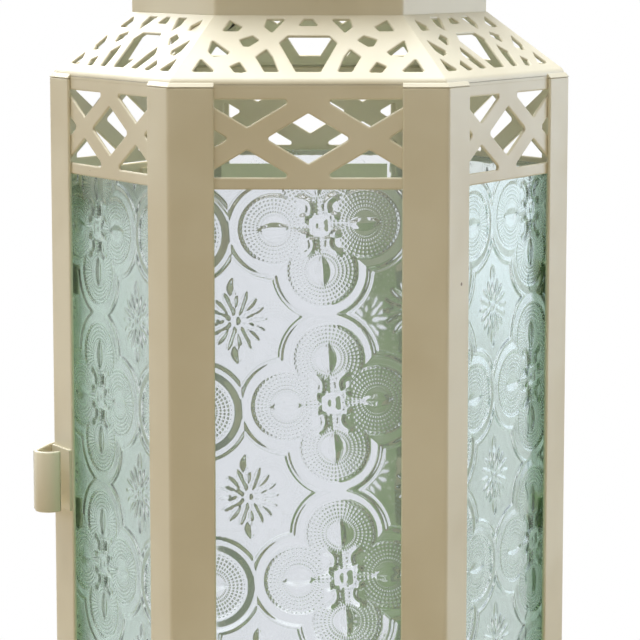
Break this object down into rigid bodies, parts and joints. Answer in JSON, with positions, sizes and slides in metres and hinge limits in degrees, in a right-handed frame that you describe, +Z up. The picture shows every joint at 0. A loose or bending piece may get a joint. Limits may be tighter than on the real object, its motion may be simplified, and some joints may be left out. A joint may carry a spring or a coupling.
{
  "type": "candle lantern",
  "caption": "Hexagonal candle lantern of pierced ivory sheet metal with pressed clear glass panes, a latched side door, a small drum and dome on top, and a hanging ring.",
  "frame": {"origin": "centre of the footprint on the table", "axes": "+Z up along the lantern's centre line, the front face looks along -Y, +X to the right as seen from the front"},
  "size_m": [0.1398, 0.121, 0.3025],
  "materials": {
    "ivory_paint": "satin ivory paint over sheet steel",
    "pressed_glass": "clear pressed glass with a faint green tint",
    "pin_steel": "bare steel hinge pin"
  },
  "bodies": {
    "lantern": {"feet": "ivory_paint", "base_ring": "ivory_paint", "base_skirt": "ivory_paint", "floor_plate": "ivory_paint", "candle_cup": "ivory_paint", "front_right_post": "ivory_paint", "right_post": "ivory_paint", "back_right_post": "ivory_paint", "back_left_post": "ivory_paint", "left_post": "ivory_paint", "front_left_post": "ivory_paint", "front_frame": "ivory_paint", "front_right_frame": "ivory_paint", "back_right_frame": "ivory_paint", "back_frame": "ivory_paint", "front_left_frame": "ivory_paint", "back_left_frieze": "ivory_paint", "front_pane": "pressed_glass", "front_right_pane": "pressed_glass", "back_right_pane": "pressed_glass", "back_pane": "pressed_glass", "front_left_pane": "pressed_glass", "pane_clips": "ivory_paint", "back_pane_stay": "ivory_paint", "upper_hinge_post_leaf": "ivory_paint", "upper_hinge_pin": "pin_steel", "lower_hinge_post_leaf": "ivory_paint", "lower_hinge_pin": "pin_steel", "latch_keeper": "ivory_paint", "roof": "ivory_paint", "post_caps": "ivory_paint", "drum": "ivory_paint", "dome": "ivory_paint", "finial": "ivory_paint", "ring_eye": "ivory_paint"},
    "door": {"door_frame": "ivory_paint", "door_pane": "pressed_glass", "door_clips": "ivory_paint", "upper_hinge_door_leaf": "ivory_paint", "lower_hinge_door_leaf": "ivory_paint", "door_latch": "ivory_paint"},
    "ring": {"hanging_ring": "ivory_paint"}
  },
  "joints": [
    {"name": "door_hinge", "type": "hinge", "parent": "lantern", "child": "door", "pos_m": [-0.03152, 0.05341, 0.1], "axis": [0, 0, -1], "range_deg": [0, 115]},
    {"name": "ring_swing", "type": "hinge", "parent": "lantern", "child": "ring", "pos_m": [0, 0, 0.2973], "axis": [-1, 0, 0], "range_deg": [0, 283]}
  ]
}
